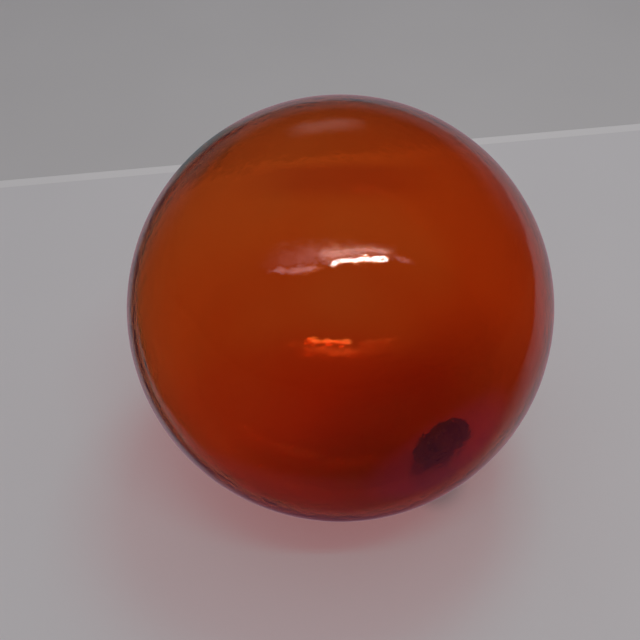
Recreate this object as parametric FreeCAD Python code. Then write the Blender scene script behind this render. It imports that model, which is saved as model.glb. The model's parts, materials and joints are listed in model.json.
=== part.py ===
"""A see-through, inflatable playground ball: a seamless moulded skin and its inflation valve.

Origin at the ball's centre, +Z up, millimetres. Every piece is round about the valve's axis, so each is
made with that axis along +Z, its outer end upwards, and is then turned to where the valve lies at rest.
Heights are distances from the ball's centre along the valve's axis.
"""
import math
import os

import FreeCAD
import Part
from FreeCAD import Vector

# Skin
ball_radius = 108.0  # an 8.5 inch ball
skin_thickness = 2.5
valve_lean = 35.0  # degrees, from straight down towards +X: the heavier valve side rolls low

# Valve opening, and the disc that reinforces the skin round it
opening_radius = 7.0
patch_radius = 18.0
patch_thickness = 1.6
patch_edge_rounding = 1.2

# Housing: a flange under the patch, and a sleeve that tapers inwards
flange_radius = 12.0
flange_thickness = 1.5
housing_depth = 10.0  # from the ball's outside to the sleeve's inner end
sleeve_end_radius = 5.9
rim_bevel = 0.35
recess_radius = 5.6  # holds the core's head
recess_depth = 2.0
bore_radius = 4.6  # at the recess floor
bore_taper = 0.04  # radius lost per mm of depth, so that the core seals as it is pushed in

# Core: a plug with a funnel and a blind channel for the inflating needle
running_gap = 0.05  # between the core and the housing, all round
head_sink = 0.2  # how far the head lies under the ball's surface
core_depth = 11.5
nose_rounding = 1.0
funnel_radius = 2.4
funnel_depth = 1.5
needle_radius = 1.1
needle_web = 2.5  # rubber left under the channel, which the needle pushes through

# Heights that follow
skin_inside = ball_radius - skin_thickness
patch_inside = skin_inside - patch_thickness
flange_inside = patch_inside - flange_thickness
housing_end = ball_radius - housing_depth
recess_floor = ball_radius - recess_depth
head_top = ball_radius - head_sink
core_end = ball_radius - core_depth
channel_top = head_top - funnel_depth
channel_end = core_end + needle_web
clear_height = ball_radius + 10.0  # outside the ball, where cutters may end


def turned(profile):
    """A solid of revolution about Z from a closed outline of (radius, height) points."""
    points = [Vector(radius, 0, height) for radius, height in profile]
    face = Part.Face(Part.makePolygon(points + points[:1]))
    return face.revolve(Vector(0, 0, 0), Vector(0, 0, 1), 360)


def cylinder(radius, bottom, top):
    return Part.makeCylinder(radius, top - bottom, Vector(0, 0, bottom))


def dome_layer(outside, inside, radius):
    """The round piece of a spherical layer that lies within a radius of the valve's axis."""
    disc = cylinder(radius, inside - radius, clear_height)
    return Part.makeSphere(outside).cut(Part.makeSphere(inside)).common(disc)


def lowest_circle(shape, radius):
    """The lowest circular edge of a given radius about the axis."""
    real_edges = [edge for edge in shape.Edges if not edge.Degenerated]
    circles = [edge for edge in real_edges
               if isinstance(edge.Curve, Part.Circle) and abs(edge.Curve.Radius - radius) < 0.01]
    return min(circles, key=lambda edge: edge.CenterOfMass.z)


def bore_radius_at(height):
    return bore_radius - bore_taper * (recess_floor - height)


def ball_shell():
    skin = Part.makeSphere(ball_radius).cut(Part.makeSphere(skin_inside))
    return skin.cut(cylinder(opening_radius, 0, clear_height))


def valve_patch():
    disc = dome_layer(skin_inside, patch_inside, patch_radius)
    disc = disc.cut(cylinder(opening_radius, 0, clear_height))
    return disc.makeFillet(patch_edge_rounding, [lowest_circle(disc, patch_radius)])


def valve_housing():
    sleeve = turned([(0, housing_end), (sleeve_end_radius, housing_end),
                     (opening_radius, flange_inside), (opening_radius, clear_height), (0, clear_height)])
    body = sleeve.fuse(dome_layer(patch_inside, flange_inside, flange_radius))
    body = body.common(Part.makeSphere(ball_radius))
    rim_height = math.sqrt(ball_radius ** 2 - opening_radius ** 2)
    bevel = turned([(opening_radius - rim_bevel, rim_height + rim_bevel),
                    (opening_radius + rim_bevel, rim_height + rim_bevel),
                    (opening_radius + rim_bevel, rim_height - rim_bevel),
                    (opening_radius, rim_height - rim_bevel)])
    bore = turned([(0, housing_end - 1), (bore_radius_at(housing_end - 1), housing_end - 1),
                   (bore_radius, recess_floor), (recess_radius, recess_floor),
                   (recess_radius, clear_height), (0, clear_height)])
    return body.cut(bore).cut(bevel).removeSplitter()


def valve_core():
    head_bottom = recess_floor + running_gap
    nose_radius = bore_radius_at(core_end) - running_gap
    plug = turned([(0, core_end), (nose_radius, core_end),
                   (bore_radius_at(head_bottom) - running_gap, head_bottom),
                   (recess_radius - running_gap, head_bottom),
                   (recess_radius - running_gap, clear_height), (0, clear_height)])
    plug = plug.common(Part.makeSphere(head_top))
    plug = plug.makeFillet(nose_rounding, [lowest_circle(plug, nose_radius)])
    funnel = turned([(0, channel_end), (needle_radius, channel_end), (needle_radius, channel_top),
                     (funnel_radius, head_top), (funnel_radius, clear_height), (0, clear_height)])
    return plug.cut(funnel)


def at_rest(shape):
    """Turns a piece from the valve axis upright to where the valve lies when the ball has come to rest."""
    shape.rotate(Vector(0, 0, 0), Vector(0, 1, 0), 180 - valve_lean)
    return shape


os.makedirs("parts", exist_ok=True)
for make in (ball_shell, valve_patch, valve_housing, valve_core):
    piece = at_rest(make())
    piece.exportStep(f"parts/{make.__name__}.step")
    print(f"{make.__name__}: {piece.Volume / 1000:.2f} cm3, {len(piece.Solids)} solid, valid {piece.isValid()}")
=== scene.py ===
"""A see-through orange play ball on a pale sheet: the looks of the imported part, in metres, in its frame."""
import json
import math

import bpy
from mathutils import Matrix, Vector, noise


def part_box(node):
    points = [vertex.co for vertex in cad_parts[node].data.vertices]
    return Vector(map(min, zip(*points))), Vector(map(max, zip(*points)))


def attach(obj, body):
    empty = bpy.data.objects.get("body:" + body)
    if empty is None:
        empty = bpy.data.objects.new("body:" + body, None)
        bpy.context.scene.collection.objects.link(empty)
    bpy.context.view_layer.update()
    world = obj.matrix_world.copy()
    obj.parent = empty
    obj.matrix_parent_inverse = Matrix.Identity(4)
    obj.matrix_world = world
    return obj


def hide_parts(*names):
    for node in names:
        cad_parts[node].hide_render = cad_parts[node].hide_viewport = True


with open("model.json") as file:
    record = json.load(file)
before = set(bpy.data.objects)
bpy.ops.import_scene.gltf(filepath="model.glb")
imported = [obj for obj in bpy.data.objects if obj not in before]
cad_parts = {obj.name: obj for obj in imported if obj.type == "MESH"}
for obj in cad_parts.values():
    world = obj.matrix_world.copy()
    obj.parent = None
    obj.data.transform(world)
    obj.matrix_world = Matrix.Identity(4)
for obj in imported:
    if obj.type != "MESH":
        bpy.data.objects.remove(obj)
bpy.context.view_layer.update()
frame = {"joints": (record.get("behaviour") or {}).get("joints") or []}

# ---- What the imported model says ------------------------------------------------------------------
shell_low, shell_high = (Vector(corner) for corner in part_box("ball_shell"))
CENTRE = (shell_low + shell_high) / 2
BALL_RADIUS = (shell_high.z - shell_low.z) / 2
FLOOR_Z = shell_low.z
VALVE_AXIS = Vector(frame["joints"][0]["axis"]).normalized()
VALVE_TURN = Vector((0, 0, 1)).rotation_difference(VALVE_AXIS).to_matrix().to_4x4()

# ---- Sizes of the skin and of the valve -----------------------------------------------------------
# In metres. A depth is measured inwards from the ball's surface.
WALL = 0.0025
INNER_RADIUS = BALL_RADIUS - WALL
THIN_SIDE_LESS = 0.0014  # how much thinner the wall is on its thin side, and thicker on the other
# Unevenness of both faces of the skin, and of the inner one alone: height, length along the ball, seed
SWELLS = ((0.00008, 0.014, 138.75), (0.000018, 0.005, 834.72))
RIPPLES = ((0.00003, 0.02, 41.0), (0.000016, 0.006, 59.0))
SWELL_ELSEWHERE = 0.45  # how strong the swells are away from the uneven side, where they are 1
OPENING = 0.007  # the housing's radius where it goes through the skin and the patch
BOND_GAP = 0.00004  # between the skin and the pieces set in it
HOLE_RADIUS = OPENING + BOND_GAP
LIP_DROP = 0.0003  # how far the skin curves in at the hole's edge,
LIP_REACH = 0.00035  # and over what distance
LIP_RINGS = (0, 0.00008, 0.0002, 0.0004, 0.0007, 0.0012)  # distances from the hole's edge
PATCH_RADIUS = 0.018
PATCH_INSIDE = WALL + 0.0016
PATCH_GAP = 0.00005  # between the patch and the housing
PATCH_EDGE = WALL + 0.0004
FLANGE_RADIUS = 0.012
FLANGE_GAP = 0.00003  # between the patch and the flange
RIM_DEPTH = 0.00002
FLANGE_INSIDE = PATCH_INSIDE + 0.0015
SLEEVE_END = 0.01
SLEEVE_END_RADIUS = 0.0059
SLEEVE_RING_DEPTHS = (0.0072, 0.0086)
SLEEVE_RING_PROFILE = ((-0.0004, 0), (-0.0002, 0.0003), (0.0002, 0.0003), (0.0004, 0))  # depth, height
RECESS_RADIUS = 0.0056
RECESS_DEPTH = 0.002
BORE_RADIUS = 0.0046
BORE_TAPER = 0.04
CORE_GAP = 0.00005
CORE_TOP = 0.0002
CORE_END = 0.0115
HEAD_GROOVE_DEPTH = 0.0002
HEAD_GROOVE_TOP = (0.0034, 0.0044)  # its inner and outer radius at the head's surface
HEAD_GROOVE_FLOOR = (0.0036, 0.0042)  # and at its floor
FUNNEL_RADIUS = 0.0024
FUNNEL_END = 0.0017
NEEDLE_RADIUS = 0.0011
NEEDLE_END = 0.009

# ---- The view ------------------------------------------------------------------------------------
VIEW_AZIMUTH = math.radians(18.7)
VIEW_ELEVATION = math.radians(42.0)
VIEW_DISTANCE = 5.0 * BALL_RADIUS
LENS_MM = 58.9
SENSOR_MM = 36.0
AIM_LEFT = math.radians(1.08)  # the camera looks a little left of and below the ball's centre
AIM_DOWN = math.radians(0.62)

TOWARDS_VIEWER = Vector((math.sin(VIEW_AZIMUTH), -math.cos(VIEW_AZIMUTH), 0))
RIGHTWARDS = Vector((math.cos(VIEW_AZIMUTH), math.sin(VIEW_AZIMUTH), 0))
UPWARDS = Vector((0, 0, 1))


def towards(azimuth, elevation):
    """The unit vector to a place seen from the ball. Azimuth 0 is the front, and 90 the ball's +X side."""
    azimuth, elevation = math.radians(azimuth), math.radians(elevation)
    return Vector((math.sin(azimuth) * math.cos(elevation), -math.cos(azimuth) * math.cos(elevation),
                   math.sin(elevation)))


BACK_TO_VIEWER = TOWARDS_VIEWER * math.cos(VIEW_ELEVATION) + UPWARDS * math.sin(VIEW_ELEVATION)
BEYOND = -BACK_TO_VIEWER
UP_THE_FRONT = RIGHTWARDS.cross(BEYOND)
STREAK_SIDE = Matrix.Rotation(math.radians(-41.0), 3, BEYOND) @ UP_THE_FRONT
STREAK_ACROSS = BEYOND.cross(STREAK_SIDE)

# Places on the skin
UNEVEN_SIDE = towards(27.0, 53.0)
THIN_PLACE = towards(14.0, 27.0)
SECOND_THIN_PLACE = towards(32.0, 48.0)
# Where the skin carries a painted shadow, low at the front
UNDER_FRONT = towards(15.0, -58.0)
# Square to the valve's axis, so that the wall is about even round the hole
THIN_SIDE = (RIGHTWARDS - VALVE_AXIS * RIGHTWARDS.dot(VALVE_AXIS)).normalized()

# Where the lamps are, and a dark place low on the right that the ball mirrors
TUBE_OUT = towards(38.0, 63.8)
SOFT_BOX_OUT = towards(166.0, 73.0)
LOW_RIGHT = towards(79.0, -50.0)


# ---- Node helpers --------------------------------------------------------------------------------
def new_material(name):
    material = bpy.data.materials.new(name)
    material.use_nodes = True
    material.node_tree.nodes.clear()
    return material, material.node_tree


def add(tree, kind, **settings):
    """A new node, with its inputs set by name from values, or linked from sockets."""
    node = tree.nodes.new(kind)
    for key, value in settings.items():
        name = key.replace("_", " ")
        if name not in node.inputs:
            setattr(node, key, value)
        elif isinstance(value, bpy.types.NodeSocket):
            tree.links.new(value, node.inputs[name])
        else:
            node.inputs[name].default_value = value
    return node


def noise_value(tree, scale, detail=2.0, roughness=0.5, low=0.0, high=1.0, where=None):
    """Noise, in the object's own space unless told where, spread from its usual range to low..high."""
    where = where or add(tree, "ShaderNodeTexCoord").outputs["Object"]
    field = add(tree, "ShaderNodeTexNoise", Vector=where, Scale=scale, Detail=detail, Roughness=roughness)
    spread = add(tree, "ShaderNodeMapRange", Value=field.outputs["Fac"])
    spread.inputs["From Min"].default_value = 0.3
    spread.inputs["From Max"].default_value = 0.7
    spread.inputs["To Min"].default_value = low
    spread.inputs["To Max"].default_value = high
    return spread.outputs["Result"]


def mix_colours(tree, kind, factor, first, second):
    mix = add(tree, "ShaderNodeMix", data_type="RGBA", blend_type=kind, Factor=factor)
    for socket, colour in ((mix.inputs[6], first), (mix.inputs[7], second)):
        if isinstance(colour, bpy.types.NodeSocket):
            tree.links.new(colour, socket)
        else:
            socket.default_value = (*colour, 1)
    return mix.outputs[2]


def blend_colours(tree, factor, first, second):
    return mix_colours(tree, "MIX", factor, first, second)


def multiply_colours(tree, first, second):
    return mix_colours(tree, "MULTIPLY", 1.0, first, second)


def ramp(tree, value, start, end):
    """A smooth step, 0 where value is at start and 1 where it is at end. Either may be the larger."""
    step = add(tree, "ShaderNodeMapRange", Value=value, interpolation_type="SMOOTHSTEP")
    step.inputs["From Min"].default_value = start
    step.inputs["From Max"].default_value = end
    return step.outputs["Result"]


def between(tree, value, start, full, last_full, end):
    """1 while value lies from full to last_full, falling smoothly to 0 at start and at end."""
    return product(tree, ramp(tree, value, start, full), ramp(tree, value, end, last_full))


def along_axis(tree, direction, axis):
    dot = add(tree, "ShaderNodeVectorMath", operation="DOT_PRODUCT")
    tree.links.new(direction, dot.inputs[0])
    dot.inputs[1].default_value = axis
    return dot.outputs["Value"]


def weighted_sum(tree, first, second, weight):
    """first + second * weight"""
    node = add(tree, "ShaderNodeMath", operation="MULTIPLY_ADD")
    tree.links.new(second, node.inputs[0])
    node.inputs[1].default_value = weight
    tree.links.new(first, node.inputs[2])
    return node.outputs[0]


def product(tree, *factors):
    result = factors[0]
    for factor in factors[1:]:
        node = add(tree, "ShaderNodeMath", operation="MULTIPLY")
        tree.links.new(result, node.inputs[0])
        tree.links.new(factor, node.inputs[1])
        result = node.outputs[0]
    return result


# ---- Materials -----------------------------------------------------------------------------------
ONE_WALL = (0.9, 0.27, 0.068)  # what one wall of the skin lets through, face on
DYE_DRIFT = 0.26  # how much more dye there is round the valve, and how much less on the other side
THIN_PLACE_LESS = 0.2
SECOND_THIN_PLACE_LESS = 0.16
NO_PAINTED_SHADE = (1, 1, 1)
# Painted shade round the valve, standing for the paper under the ball lying in shadow, seen through the skin
PAINTED_SHADE_ROUND_VALVE = (0.6, 0.6, 0.6)
# A painted dark reflection, in a streak near the outline on one side
PAINTED_DARK_REFLECTION_IN_STREAK = (0.6, 0.72, 0.85)
# A painted shadow low at the front, where the ball stands on the paper
PAINTED_SHADOW_UNDER_FRONT = (0.74, 0.67, 0.83)
# Painted shade in a band high on the front wall only
PAINTED_SHADE_IN_HIGH_BAND = (0.86, 0.7, 0.8)
RIPPLE_HEIGHT = 0.00003
SOFT_LIGHT_PER_FACE = (0.83, 0.56, 0.56)  # what each face lets through of the light that reaches the stage:
LAMP_LIGHT_PER_FACE = (0.97, 0.78, 0.775)  # the soft light all round, and the lamps' own


def dye_depth(tree, outward):
    """How much dye one wall holds, about 1: most round the valve, least in two thin places in front."""
    drift = weighted_sum(tree, noise_value(tree, scale=14.0, detail=3.0, low=0.95, high=1.05),
                         along_axis(tree, outward, VALVE_AXIS), DYE_DRIFT)
    thin_place = ramp(tree, along_axis(tree, outward, THIN_PLACE), 0.88, 0.99)
    second_thin_place = ramp(tree, along_axis(tree, outward, SECOND_THIN_PLACE), 0.92, 0.99)
    less = weighted_sum(tree, drift, thin_place, -THIN_PLACE_LESS)
    return weighted_sum(tree, less, second_thin_place, -SECOND_THIN_PLACE_LESS)


def painted_shade_and_dark_reflection(tree, outward):
    """Painted shade and a painted dark reflection in the skin, as a colour to multiply by: painted shade
    round the valve, a painted dark reflection in a streak near the outline on one side, a painted shadow low
    at the front where the ball stands, and painted shade in a band high at the front."""
    round_valve = ramp(tree, along_axis(tree, outward, VALVE_AXIS), 0.6, 1.0)
    dark_reflection_streak = ramp(tree, along_axis(tree, outward, STREAK_SIDE), 0.974, 0.994)
    painted_contact_shadow = ramp(tree, along_axis(tree, outward, UNDER_FRONT), 0.75, 0.97)
    painted_shade_band = product(tree, between(tree, along_axis(tree, outward, UP_THE_FRONT), 0.4, 0.5, 0.55, 0.6),
                        between(tree, along_axis(tree, outward, RIGHTWARDS), -0.5, -0.1, 0.1, 0.5),
                        ramp(tree, along_axis(tree, outward, BEYOND), -0.1, -0.3))
    shaded = blend_colours(tree, round_valve, NO_PAINTED_SHADE, PAINTED_SHADE_ROUND_VALVE)
    shaded = blend_colours(tree, dark_reflection_streak, shaded, PAINTED_DARK_REFLECTION_IN_STREAK)
    shaded = blend_colours(tree, painted_contact_shadow, shaded, multiply_colours(tree, shaded, PAINTED_SHADOW_UNDER_FRONT))
    return blend_colours(tree, painted_shade_band, shaded, multiply_colours(tree, shaded, PAINTED_SHADE_IN_HIGH_BAND))


def vinyl_material():
    """Clear orange vinyl: each of the wall's two faces takes the square root of its colour from the light.
    The stage is lit through plain see-through shaders, because light bent by the wall doesn't reach it."""
    material, tree = new_material("clear_orange_vinyl")
    where = add(tree, "ShaderNodeTexCoord").outputs["Object"]
    unit = add(tree, "ShaderNodeVectorMath", operation="NORMALIZE")
    tree.links.new(where, unit.inputs[0])
    outward = unit.outputs["Vector"]
    dyed = add(tree, "ShaderNodeGamma", Color=(*ONE_WALL, 1), Gamma=dye_depth(tree, outward))
    # The dye's colour, darkened by the painted shade and the painted dark reflection
    tint = multiply_colours(tree, dyed.outputs[0], painted_shade_and_dark_reflection(tree, outward))
    scuffs = noise_value(tree, scale=320.0, detail=4.0, roughness=0.65, high=0.05)
    ripple = noise_value(tree, scale=190.0, detail=3.0)
    bump = add(tree, "ShaderNodeBump", Height=ripple, Strength=1.0, Distance=RIPPLE_HEIGHT)
    body = add(tree, "ShaderNodeBsdfPrincipled", IOR=1.5, Base_Color=tint, Roughness=scuffs)
    body.inputs["Transmission Weight"].default_value = 1.0
    tree.links.new(bump.outputs[0], body.inputs["Normal"])
    path = add(tree, "ShaderNodeLightPath")
    shader = body.outputs[0]
    for ray, colour in (("Is Diffuse Ray", SOFT_LIGHT_PER_FACE), ("Is Shadow Ray", LAMP_LIGHT_PER_FACE)):
        clear = add(tree, "ShaderNodeBsdfTransparent", Color=(*colour, 1))
        mix = add(tree, "ShaderNodeMixShader")
        tree.links.new(path.outputs[ray], mix.inputs[0])
        tree.links.new(shader, mix.inputs[1])
        tree.links.new(clear.outputs[0], mix.inputs[2])
        shader = mix.outputs[0]
    out = add(tree, "ShaderNodeOutputMaterial")
    tree.links.new(shader, out.inputs["Surface"])
    return material


def rubber_material(name, dark, light):
    """Moulded rubber, slightly mottled, with a fine grain."""
    material, tree = new_material(name)
    mottle = noise_value(tree, scale=260.0, detail=4.0)
    colour = blend_colours(tree, mottle, dark, light)
    roughness = noise_value(tree, scale=700.0, detail=3.0, low=0.35, high=0.6)
    grain = noise_value(tree, scale=2400.0)
    bump = add(tree, "ShaderNodeBump", Height=grain, Strength=0.25, Distance=0.0001)
    body = add(tree, "ShaderNodeBsdfPrincipled", Base_Color=colour, Roughness=roughness)
    tree.links.new(bump.outputs[0], body.inputs["Normal"])
    out = add(tree, "ShaderNodeOutputMaterial")
    tree.links.new(body.outputs[0], out.inputs["Surface"])
    return material


def paper_material(name, colour):
    """Dull paper with fine fibres, slightly cloudy."""
    material, tree = new_material(name)
    fibre = noise_value(tree, scale=900.0, detail=5.0, roughness=0.7)
    cloud = noise_value(tree, scale=6.0)
    cloudy = blend_colours(tree, cloud, tuple(0.97 * channel for channel in colour), colour)
    bump = add(tree, "ShaderNodeBump", Height=fibre, Strength=0.15, Distance=0.0002)
    body = add(tree, "ShaderNodeBsdfPrincipled", Base_Color=cloudy, Roughness=0.9)
    body.inputs["Specular IOR Level"].default_value = 0.2
    tree.links.new(bump.outputs[0], body.inputs["Normal"])
    out = add(tree, "ShaderNodeOutputMaterial")
    tree.links.new(body.outputs[0], out.inputs["Surface"])
    return material


# ---- Meshes --------------------------------------------------------------------------------------
def new_object(name, vertices, faces, material, smooth=True):
    mesh = bpy.data.meshes.new(name)
    mesh.from_pydata(vertices, [], faces)
    mesh.update()
    for polygon in mesh.polygons:
        polygon.use_smooth = smooth
    thing = bpy.data.objects.new(name, mesh)
    bpy.context.scene.collection.objects.link(thing)
    mesh.materials.append(material)
    return thing


def wave(direction, size, seed):
    """A smooth random value, about -1 to 1, that changes over a given length along the ball."""
    return 2 * noise.noise(direction * (BALL_RADIUS / size) + Vector((seed, 0, 0)))


def swell(direction):
    """The mould's slow unevenness, which both faces of the skin follow, strongest on the uneven side."""
    nearness = min(max((direction.dot(UNEVEN_SIDE) - 0.75) / 0.15, 0), 1)
    strength = SWELL_ELSEWHERE + (1 - SWELL_ELSEWHERE) * nearness
    return strength * sum(height * wave(direction, size, seed) for height, size, seed in SWELLS)


def outer_radius(direction):
    return BALL_RADIUS + swell(direction)


def inner_radius(direction):
    """The hollow lies a little off centre, so that the skin is thinner on one side, and it ripples."""
    ripple = sum(height * wave(direction, size, seed) for height, size, seed in RIPPLES)
    return INNER_RADIUS + swell(direction) + THIN_SIDE_LESS * direction.dot(THIN_SIDE) + ripple


def lip_drop(turn):
    """How far the skin's faces curve in at the edge of the valve's hole, at an angle from that edge."""
    return LIP_DROP * math.exp(-turn * BALL_RADIUS / LIP_REACH)


def skin_piece(material):
    """The ball's skin: its outer and inner faces, joined by the wall of the hole for the valve."""
    around, even_rings = 288, 144
    down = len(LIP_RINGS) + even_rings - 1
    vertices, faces = [], []

    def face_rings(radius_of, radius):
        """Rings from the hole's edge to the far pole, and the index of the first point."""
        start = len(vertices)
        edge = math.asin(HOLE_RADIUS / radius)
        angles = [edge + distance / radius for distance in LIP_RINGS]
        angles += [edge + (math.pi - edge) * ring / even_rings for ring in range(1, even_rings)]
        for angle in angles:
            for step in range(around):
                turn = 2 * math.pi * step / around
                local = Vector((math.sin(angle) * math.cos(turn), math.sin(angle) * math.sin(turn),
                                math.cos(angle)))
                direction = VALVE_TURN @ local
                vertices.append(CENTRE + direction * (radius_of(direction) - lip_drop(angle - edge)))
        pole = -VALVE_AXIS
        vertices.append(CENTRE + pole * radius_of(pole))
        return start

    def skin_faces(start, flipped):
        loops = []
        for ring in range(down - 1):
            for step in range(around):
                here, there = start + ring * around + step, start + ring * around + (step + 1) % around
                loops.append((here, here + around, there + around, there))
        last, pole = start + (down - 1) * around, start + down * around
        loops += [(last + step, pole, last + (step + 1) % around) for step in range(around)]
        faces.extend(tuple(reversed(loop)) if flipped else loop for loop in loops)

    outside = face_rings(outer_radius, BALL_RADIUS)
    inside = face_rings(inner_radius, INNER_RADIUS)
    skin_faces(outside, False)
    skin_faces(inside, True)
    for step in range(around):
        after = (step + 1) % around
        faces.append((outside + step, outside + after, inside + after, inside + step))
    return new_object("skin", vertices, faces, material)


def rounded(corners, steps=5):
    """An outline of (radius, depth) points, from corners in order round a section. Each is (radius, depth,
    rounding), and a rounding stops short of the middle of the sides it joins."""
    outline = []
    for index, (radius, depth, rounding) in enumerate(corners):
        here = Vector((radius, depth))
        before, after = Vector(corners[index - 1][:2]), Vector(corners[(index + 1) % len(corners)][:2])
        back, ahead = (before - here), (after - here)
        if rounding == 0:
            outline.append(here)
            continue
        reach = min(rounding, 0.45 * back.length, 0.45 * ahead.length)
        start, end = here + back.normalized() * reach, here + ahead.normalized() * reach
        for step in range(steps + 1):
            along = step / steps
            outline.append(start * (1 - along) ** 2 + here * 2 * along * (1 - along) + end * along ** 2)
    return outline


def turned_piece(name, outline, material, around=120):
    """A piece turned round the valve's axis. Its section follows the ball's curve, and where it is wider
    than the opening it follows the skin's uneven inner face."""
    vertices, rings, faces = [], [], []
    for radius, depth in outline:
        count = around if radius > 0 else 1
        rings.append((len(vertices), count))
        for step in range(count):
            turn = 2 * math.pi * step / around
            height = math.sqrt((BALL_RADIUS - depth) ** 2 - radius ** 2)
            spot = VALVE_TURN @ Vector((radius * math.cos(turn), radius * math.sin(turn), height))
            direction = spot.normalized()
            settle = inner_radius(direction) - INNER_RADIUS if radius > OPENING + 0.0002 else 0
            vertices.append(CENTRE + spot + direction * settle)
    closed = min(radius for radius, _ in outline) > 0
    pairs = zip(rings, rings[1:] + rings[:1]) if closed else zip(rings, rings[1:])
    for (first, first_count), (second, second_count) in pairs:
        for step in range(around):
            after = (step + 1) % around
            loop = [first + step % first_count, first + after % first_count,
                    second + after % second_count, second + step % second_count]
            faces.append(tuple(dict.fromkeys(loop)))
    return new_object(name, vertices, faces, material)


def bore_radius_at(depth):
    return BORE_RADIUS - BORE_TAPER * (depth - RECESS_DEPTH)


def patch_piece(material):
    """The disc that reinforces the skin: thick round the housing, and feathered towards its edge."""
    bonded_face = WALL + BOND_GAP
    return turned_piece("patch", rounded([
        (OPENING + PATCH_GAP, bonded_face, 0), (0.6 * PATCH_RADIUS, bonded_face, 0),
        (PATCH_RADIUS, bonded_face, 0.0002), (PATCH_RADIUS, PATCH_EDGE, 0.0002),
        (0.93 * PATCH_RADIUS, PATCH_EDGE + 0.0001, 0.0004), (0.78 * PATCH_RADIUS, PATCH_INSIDE, 0.001),
        (OPENING + PATCH_GAP, PATCH_INSIDE, 0)]), material)


def housing_piece(material):
    """The flange under the patch, and the sleeve that the core is pushed into, with two rings round it."""
    def sleeve_radius_at(depth):
        share = (depth - FLANGE_INSIDE) / (SLEEVE_END - FLANGE_INSIDE)
        return OPENING + (SLEEVE_END_RADIUS - OPENING) * share

    rings = []
    for depth in SLEEVE_RING_DEPTHS:
        for offset, height in SLEEVE_RING_PROFILE:
            rings.append((sleeve_radius_at(depth + offset) + height, depth + offset, 0.0001))
    under_patch = PATCH_INSIDE + FLANGE_GAP
    return turned_piece("housing", rounded([
        (RECESS_RADIUS, RIM_DEPTH, 0.00025), (OPENING, RIM_DEPTH, 0.0005), (OPENING, under_patch, 0),
        (FLANGE_RADIUS, under_patch, 0.0003), (FLANGE_RADIUS, FLANGE_INSIDE, 0.0008),
        (OPENING, FLANGE_INSIDE, 0.0009), *rings,
        (SLEEVE_END_RADIUS, SLEEVE_END, 0.0008), (bore_radius_at(SLEEVE_END), SLEEVE_END, 0.0005),
        (BORE_RADIUS, RECESS_DEPTH, 0.0002), (RECESS_RADIUS, RECESS_DEPTH, 0.0002)]), material)


def core_piece(material):
    """The plug, with a round groove in its head and a funnel that leads the inflating needle into it."""
    neck = RECESS_DEPTH - CORE_GAP
    groove_floor = CORE_TOP + HEAD_GROOVE_DEPTH
    groove = ((HEAD_GROOVE_TOP[0], CORE_TOP), (HEAD_GROOVE_FLOOR[0], groove_floor),
              (HEAD_GROOVE_FLOOR[1], groove_floor), (HEAD_GROOVE_TOP[1], CORE_TOP))
    return turned_piece("core_plug", rounded([
        (0, NEEDLE_END, 0), (NEEDLE_RADIUS, NEEDLE_END, 0.0006), (NEEDLE_RADIUS, FUNNEL_END, 0.0005),
        (FUNNEL_RADIUS, CORE_TOP, 0.0003), *((radius, depth, 0.0001) for radius, depth in groove),
        (RECESS_RADIUS - CORE_GAP, CORE_TOP, 0.0004), (RECESS_RADIUS - CORE_GAP, neck, 0.0002),
        (BORE_RADIUS - CORE_GAP, neck, 0.0001), (bore_radius_at(CORE_END) - CORE_GAP, CORE_END, 0.001),
        (0, CORE_END, 0)]), material)


# ---- The ball ------------------------------------------------------------------------------------
skin = skin_piece(vinyl_material())
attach(skin, "ball")
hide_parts("ball_shell")

valve_rubber = rubber_material("valve_rubber", (0.06, 0.018, 0.036), (0.095, 0.03, 0.055))
core_rubber = rubber_material("core_rubber", (0.07, 0.022, 0.03), (0.11, 0.038, 0.05))
for piece, body, node, slot in ((patch_piece(valve_rubber), "ball", "valve_patch", "valve_rubber"),
                                (housing_piece(valve_rubber), "ball", "valve_housing", "valve_rubber"),
                                (core_piece(core_rubber), "core", "valve_core", "core_rubber")):
    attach(piece, body)
    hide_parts(node)

# ---- The stage -----------------------------------------------------------------------------------
SHEET_DROP = 0.0001  # how far the sheet and the floor lie under the ball
FLOOR_DROP = 0.001
# The sheet's edges, in ball radii towards the viewer from under the ball's centre
NEAR_EDGE = 3.0
FAR_EDGE = -2.87
FAR_EDGE_TURN = 0.155  # the far edge isn't quite square to the view
# The paler strip along the far edge is painted light: flat paper made paler where the sheet's edge catches
# more light
LIT_EDGE_WIDTH = 0.09  # the width of the paler strip along it
FLOOR_REACH = 50


def plan(right, nearer, z):
    """A point on the stage, so many ball radii to the right and towards the viewer."""
    spot = (RIGHTWARDS * right + TOWARDS_VIEWER * nearer) * BALL_RADIUS
    return Vector((spot.x, spot.y, z))


def stage_sheet(name, corners, z, material):
    """A flat sheet on the stage, from plan corners. What the ball mirrors of it is in the world instead."""
    spots = [plan(*corner, z) for corner in corners]
    thing = new_object(name, spots, [(0, 1, 2, 3)], material, smooth=False)
    thing.visible_glossy = False


def across_stage(near, near_turn, far, far_turn, left=-3.6, right=7.0):
    """The corners of a strip between a near and a far edge, each at a place and turned by a slope."""
    return [(left, near - left * near_turn), (right, near - right * near_turn),
            (right, far - right * far_turn), (left, far - left * far_turn)]


stage_sheet("sheet", across_stage(NEAR_EDGE, 0, FAR_EDGE + LIT_EDGE_WIDTH, FAR_EDGE_TURN), FLOOR_Z - SHEET_DROP,
            paper_material("paper", (0.78, 0.77, 0.78)))
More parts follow.
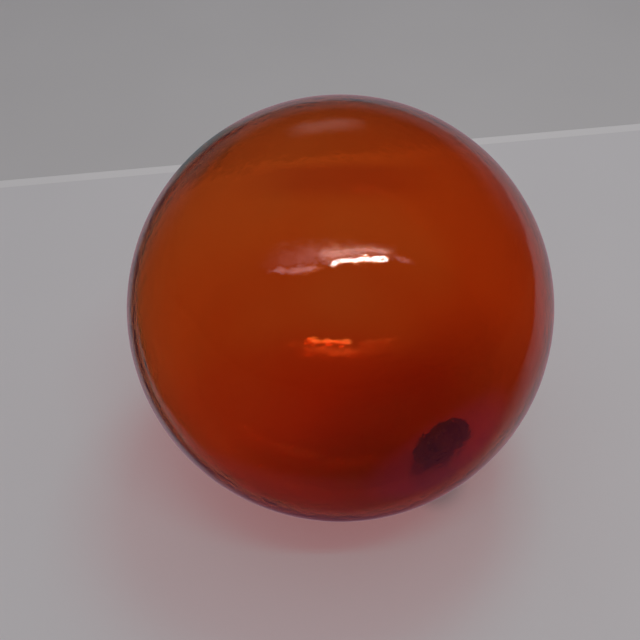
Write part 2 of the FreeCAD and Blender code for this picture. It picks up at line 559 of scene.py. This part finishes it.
# The paler strip, painted light for the sheet's edge catching more light
stage_sheet("sheet_lit_edge", across_stage(FAR_EDGE + LIT_EDGE_WIDTH, FAR_EDGE_TURN, FAR_EDGE, FAR_EDGE_TURN),
            FLOOR_Z - SHEET_DROP, paper_material("paper_painted_lit_edge", (0.87, 0.86, 0.86)))
stage_sheet("floor", across_stage(FLOOR_REACH, 0, -FLOOR_REACH, 0, left=-FLOOR_REACH, right=FLOOR_REACH),
            FLOOR_Z - FLOOR_DROP, paper_material("table", (0.67, 0.66, 0.66)))


def level_axes(out):
    """Axes for something that faces the ball from a direction: level across, up, and out."""
    across = (RIGHTWARDS - out * RIGHTWARDS.dot(out)).normalized()
    return across, out.cross(across), out


def area_lamp(name, out, distance, long_side, short_side, radiance, colour):
    """A rectangular soft light that faces the ball, its long side level."""
    data = bpy.data.lights.new(name, "AREA")
    data.shape = "RECTANGLE"
    data.size, data.size_y = long_side, short_side
    data.energy = radiance * math.pi * long_side * short_side
    data.color = colour
    lamp = bpy.data.objects.new(name, data)
    turn = Matrix(level_axes(out)).transposed()
    lamp.matrix_world = Matrix.Translation(CENTRE + out * distance) @ turn.to_4x4()
    bpy.context.scene.collection.objects.link(lamp)
    return lamp


area_lamp("tube_light", TUBE_OUT, distance=1.3, long_side=0.6, short_side=0.032, radiance=36.0,
          colour=(1.0, 0.985, 0.96))
soft_box = area_lamp("soft_box", SOFT_BOX_OUT, distance=1.15, long_side=0.36, short_side=0.36, radiance=5.6,
                     colour=(1.0, 0.99, 0.98))
soft_box.visible_camera = False
soft_box.visible_glossy = False
soft_box.visible_transmission = False

# ---- The world -----------------------------------------------------------------------------------
EVEN_LIGHT = (0.272, 0.268, 0.282)
# What the ball mirrors
DARK_ROOM = (0.012, 0.012, 0.013)
DIM_WALL = (0.12, 0.105, 0.12)
PALE_PAPER = (0.28, 0.26, 0.3)
PALE_OUTLINE = (0.36, 0.23, 0.27)
DARK_LINE = (0.12, 0.03, 0.05)
DIM_WEDGE = (0.14, 0.17, 0.19)
SHADOW_UNDER_BALL = (0.2, 0.06, 0.09)
SHADOW_IN_FRONT = (0.04, 0.03, 0.06)
SHADOW_LOW_RIGHT = (0.1, 0.03, 0.13)
PALE_SPOT = (0.34, 0.28, 0.3)
FITTING_GLOW = (2.7, 1.65, 1.75)
FITTING_LEFT_END = (4.2, 2.7, 3.0)
FITTING_RIGHT_END = (2.2, 1.3, 1.4)
FITTING_EDGE = (4.6, 3.3, 3.4)


# Each of the functions that end in _in_room returns (share, colour) pairs. A share is 0 to 1 over the
# directions seen from the ball, and says where the colour is laid over what came before.
def paper_in_room(tree, direction, ragged):
    """The pale paper round the ball, with a ragged edge."""
    up, behind = along_axis(tree, direction, UPWARDS), along_axis(tree, direction, -TOWARDS_VIEWER)
    behind_or_low = weighted_sum(tree, weighted_sum(tree, behind, up, -0.3), ragged, 1.0)
    tilted = weighted_sum(tree, up, along_axis(tree, direction, RIGHTWARDS), -0.14)
    above_paper = weighted_sum(tree, tilted, behind, -0.67)
    share = product(tree, ramp(tree, behind_or_low, 0.1, 0.68), ramp(tree, above_paper, -0.7, -0.77))
    return ((share, PALE_PAPER),)


def behind_ball_in_room(tree, direction):
    """What the ball's outline mirrors, straight behind it: pale all round, a dark line on the left, and a
    dim wedge high on the left."""
    right, behind = along_axis(tree, direction, RIGHTWARDS), along_axis(tree, direction, -TOWARDS_VIEWER)
    beyond = along_axis(tree, direction, BEYOND)
    left_line = product(tree, between(tree, beyond, 0.68, 0.74, 0.8, 0.87), ramp(tree, right, -0.26, -0.36))
    wedge_out = along_axis(tree, direction, STREAK_SIDE)
    one_side = weighted_sum(tree, along_axis(tree, direction, STREAK_ACROSS), wedge_out, 0.26)
    other_side = weighted_sum(tree, along_axis(tree, direction, -STREAK_ACROSS), wedge_out, 0.26)
    wedge = product(tree, ramp(tree, wedge_out, 0.66, 0.5), ramp(tree, one_side, 0.0, 0.06),
                    ramp(tree, other_side, 0.0, 0.06), ramp(tree, behind, 0.2, 0.4))
    return (ramp(tree, beyond, 0.75, 0.95), PALE_OUTLINE), (left_line, DARK_LINE), (wedge, DIM_WEDGE)


def under_ball_in_room(tree, direction):
    """The ball's own shadow on the paper: red round where it stands, darker towards the front, and purple
    low on the right."""
    up, behind = along_axis(tree, direction, UPWARDS), along_axis(tree, direction, -TOWARDS_VIEWER)
    under = ramp(tree, up, -0.78, -0.95)
    front = product(tree, ramp(tree, up, -0.75, -0.93), ramp(tree, behind, 0.1, -0.05))
    low_right = ramp(tree, along_axis(tree, direction, LOW_RIGHT), 0.86, 0.97)
    return (under, SHADOW_UNDER_BALL), (front, SHADOW_IN_FRONT), (low_right, SHADOW_LOW_RIGHT)


def pale_spot_in_room(tree, direction):
    """A pale thing high behind the ball."""
    up, right = along_axis(tree, direction, UPWARDS), along_axis(tree, direction, RIGHTWARDS)
    spot = product(tree, between(tree, up, 0.34, 0.44, 0.48, 0.6),
                   between(tree, right, -0.3, -0.14, 0.0, 0.16),
                   ramp(tree, along_axis(tree, direction, -TOWARDS_VIEWER), 0.5, 0.7))
    return ((spot, PALE_SPOT),)


def fitting_in_room(tree, direction, ragged):
    """The lit fitting round the tube light: its glow, the lobes at its ends, and its bright upper edge."""
    mottled = noise_value(tree, scale=11.0, detail=5.0, roughness=0.6, low=0.35, where=direction)
    above = level_axes(TUBE_OUT)[1]
    height = weighted_sum(tree, along_axis(tree, direction, above), ragged, 0.2)
    facing = ramp(tree, along_axis(tree, direction, TUBE_OUT), 0.3, 0.5)
    length = along_axis(tree, direction, RIGHTWARDS)
    glow = product(tree, between(tree, height, 0.025, 0.05, 0.05, 0.2), facing,
                   between(tree, length, -0.68, -0.1, 0.3, 0.5), mottled)
    left_end = product(tree, between(tree, height, -0.045, -0.025, -0.01, 0.03), facing,
                       between(tree, length, -0.6, -0.45, -0.24, -0.16), mottled)
    right_end = product(tree, between(tree, height, 0.03, 0.045, 0.055, 0.08), facing,
                        between(tree, length, 0.43, 0.47, 0.52, 0.6))
    edge = product(tree, between(tree, height, 0.055, 0.08, 0.09, 0.125), facing,
                   between(tree, length, -0.2, -0.1, 0.34, 0.42))
    return ((glow, FITTING_GLOW), (left_end, FITTING_LEFT_END), (right_end, FITTING_RIGHT_END),
            (edge, FITTING_EDGE))


def mirrored_room(tree, direction):
    """A dark room with a dim wall behind, and one thing after another laid over it."""
    ragged = noise_value(tree, scale=9.0, detail=4.0, roughness=0.6, low=-0.07, high=0.07, where=direction)
    wall = product(tree, ramp(tree, along_axis(tree, direction, -TOWARDS_VIEWER), 0.45, 0.9),
                   ramp(tree, along_axis(tree, direction, UPWARDS), 0.25, 0.02))
    room = blend_colours(tree, wall, DARK_ROOM, DIM_WALL)
    for share, colour in (*paper_in_room(tree, direction, ragged), *behind_ball_in_room(tree, direction),
                          *under_ball_in_room(tree, direction), *pale_spot_in_room(tree, direction),
                          *fitting_in_room(tree, direction, ragged)):
        room = blend_colours(tree, share, room, colour)
    return room


def room_world():
    """Even light for the stage and for what is seen through the ball. Only what has been mirrored at least
    once shows the room."""
    world = bpy.data.worlds.new("room")
    bpy.context.scene.world = world
    world.use_nodes = True
    tree = world.node_tree
    tree.nodes.clear()
    direction = add(tree, "ShaderNodeTexCoord").outputs["Generated"]
    even = add(tree, "ShaderNodeBackground", Color=(*EVEN_LIGHT, 1), Strength=1.0)
    seen = add(tree, "ShaderNodeBackground", Color=mirrored_room(tree, direction), Strength=1.0)
    light_path = add(tree, "ShaderNodeLightPath")
    was_mirrored = add(tree, "ShaderNodeMath", operation="GREATER_THAN")
    tree.links.new(light_path.outputs["Glossy Depth"], was_mirrored.inputs[0])
    chosen = add(tree, "ShaderNodeMixShader")
    tree.links.new(was_mirrored.outputs[0], chosen.inputs[0])
    tree.links.new(even.outputs[0], chosen.inputs[1])
    tree.links.new(seen.outputs[0], chosen.inputs[2])
    out_node = add(tree, "ShaderNodeOutputWorld")
    tree.links.new(chosen.outputs[0], out_node.inputs["Surface"])


room_world()


# ---- The camera ----------------------------------------------------------------------------------
def place_camera():
    data = bpy.data.cameras.new("camera")
    data.lens = LENS_MM
    data.sensor_width = SENSOR_MM
    data.clip_start = 0.01
    camera = bpy.data.objects.new("camera", data)
    axes = Matrix((RIGHTWARDS, BACK_TO_VIEWER.cross(RIGHTWARDS), BACK_TO_VIEWER)).transposed().to_4x4()
    aim = Matrix.Rotation(AIM_LEFT, 4, "Y") @ Matrix.Rotation(-AIM_DOWN, 4, "X")
    camera.matrix_world = Matrix.Translation(CENTRE + BACK_TO_VIEWER * VIEW_DISTANCE) @ axes @ aim
    bpy.context.scene.collection.objects.link(camera)
    bpy.context.scene.camera = camera


place_camera()
bpy.context.scene.view_settings.view_transform = "Standard"
